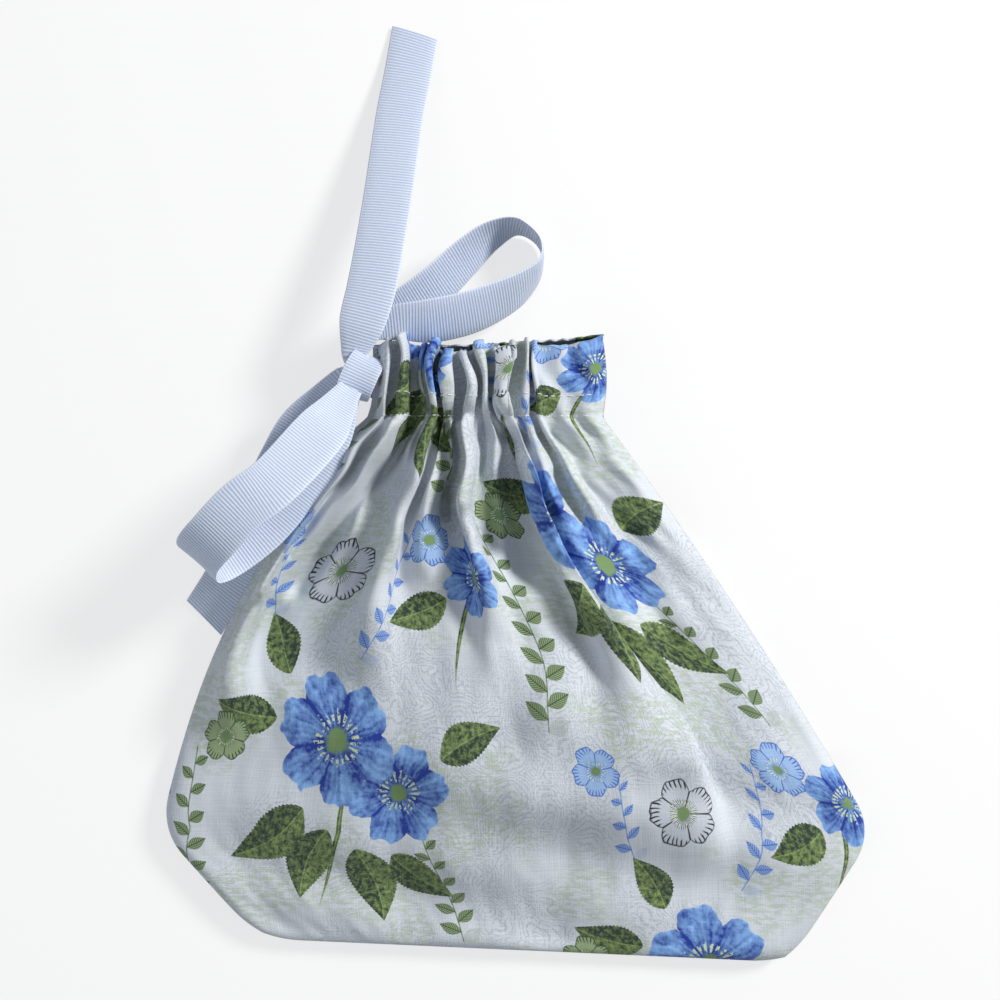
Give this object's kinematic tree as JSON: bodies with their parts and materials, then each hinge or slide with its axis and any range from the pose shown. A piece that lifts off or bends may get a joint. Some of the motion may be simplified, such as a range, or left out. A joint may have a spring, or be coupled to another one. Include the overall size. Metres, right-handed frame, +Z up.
{
  "type": "drawstring pouch",
  "caption": "Lined cotton drawstring pouch lying flat, its neck gathered on a ribbon that is tied in a bow at one side.",
  "frame": {"origin": "middle of the bag's bounding box, without the free ribbon, on the surface that its back lies on", "axes": "+Y from the bottom seam to the mouth, +X to the side seam without the bow, +Z up from the back panel to the front panel"},
  "size_m": [0.233, 0.3154, 0.0533],
  "materials": {
    "printed_cotton": "matt plain weave, printed",
    "blue_lining": "matt plain weave",
    "grosgrain": "fine cross ribs with a slight sheen"
  },
  "bodies": {
    "root": {"outer_front_panel": "printed_cotton", "outer_back_panel": "printed_cotton", "lining": "blue_lining", "ribbon_casing_run": "grosgrain", "ribbon_knot": "grosgrain", "ribbon_tail_up": "grosgrain", "ribbon_loop_right": "grosgrain", "ribbon_loop_left": "grosgrain", "ribbon_tail_back": "grosgrain"}
  },
  "joints": []
}
